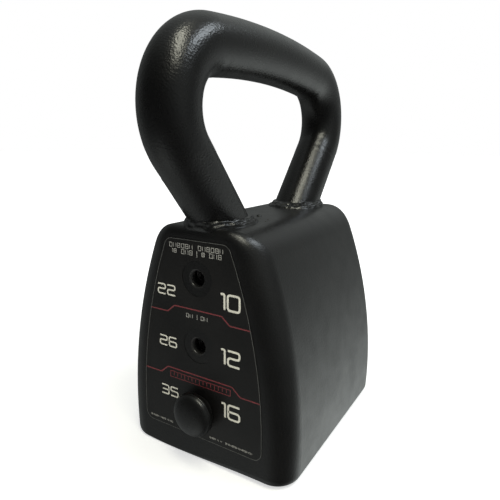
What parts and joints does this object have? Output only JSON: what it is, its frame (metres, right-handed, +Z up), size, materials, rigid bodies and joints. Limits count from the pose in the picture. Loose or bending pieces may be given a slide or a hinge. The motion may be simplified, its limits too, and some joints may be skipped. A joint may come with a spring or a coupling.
{
  "type": "adjustable kettlebell",
  "caption": "Kettlebell with a bent round-bar handle on a hollow tapered steel shell, stacked inner weights and a magnetic selector pin in the front.",
  "frame": {"origin": "on the floor, under the middle of the shell", "axes": "+Z up, -Y out of the labelled front plate, +X to the right as seen from the front"},
  "size_m": [0.1324, 0.2366, 0.284],
  "materials": {
    "handle_coat": "semi-gloss black powder coat",
    "shell_coat": "satin black powder coat",
    "weld_coat": "glossy black over rough weld",
    "label_film": "satin film",
    "print_light": "screen print",
    "print_red": "screen print",
    "knob_plastic": "satin moulded",
    "pin_steel": "zinc plated",
    "magnet_nickel": "nickel plated",
    "cup_steel": "black",
    "weight_coat": "black enamel on casting",
    "rubber": "matte",
    "liner_plastic": "natural sheet"
  },
  "bodies": {
    "kettlebell": {"handle_bar": "handle_coat", "front_handle_weld": "weld_coat", "rear_handle_weld": "weld_coat", "shell_wrap": "shell_coat", "front_plate": "shell_coat", "rear_plate": "shell_coat", "front_seam_weld": "weld_coat", "rear_seam_weld": "weld_coat", "label": "label_film", "lower_weight": "weight_coat", "middle_weight": "weight_coat", "upper_weight": "weight_coat", "lower_dowels": "pin_steel", "middle_dowels": "pin_steel", "lower_pads": "rubber", "middle_pads": "rubber", "ceiling_pads": "rubber", "base_pad": "rubber", "left_liner": "liner_plastic", "right_liner": "liner_plastic", "rear_liner": "liner_plastic"},
    "selector_pin": {"pin_shaft": "pin_steel", "pin_knob": "knob_plastic", "pin_magnet": "magnet_nickel", "pin_magnet_cup": "cup_steel"}
  },
  "joints": [
    {"name": "selector_pin_pull", "type": "slide", "parent": "kettlebell", "child": "selector_pin", "axis": [0, -1, 0], "range_m": [0, 0.042]}
  ]
}
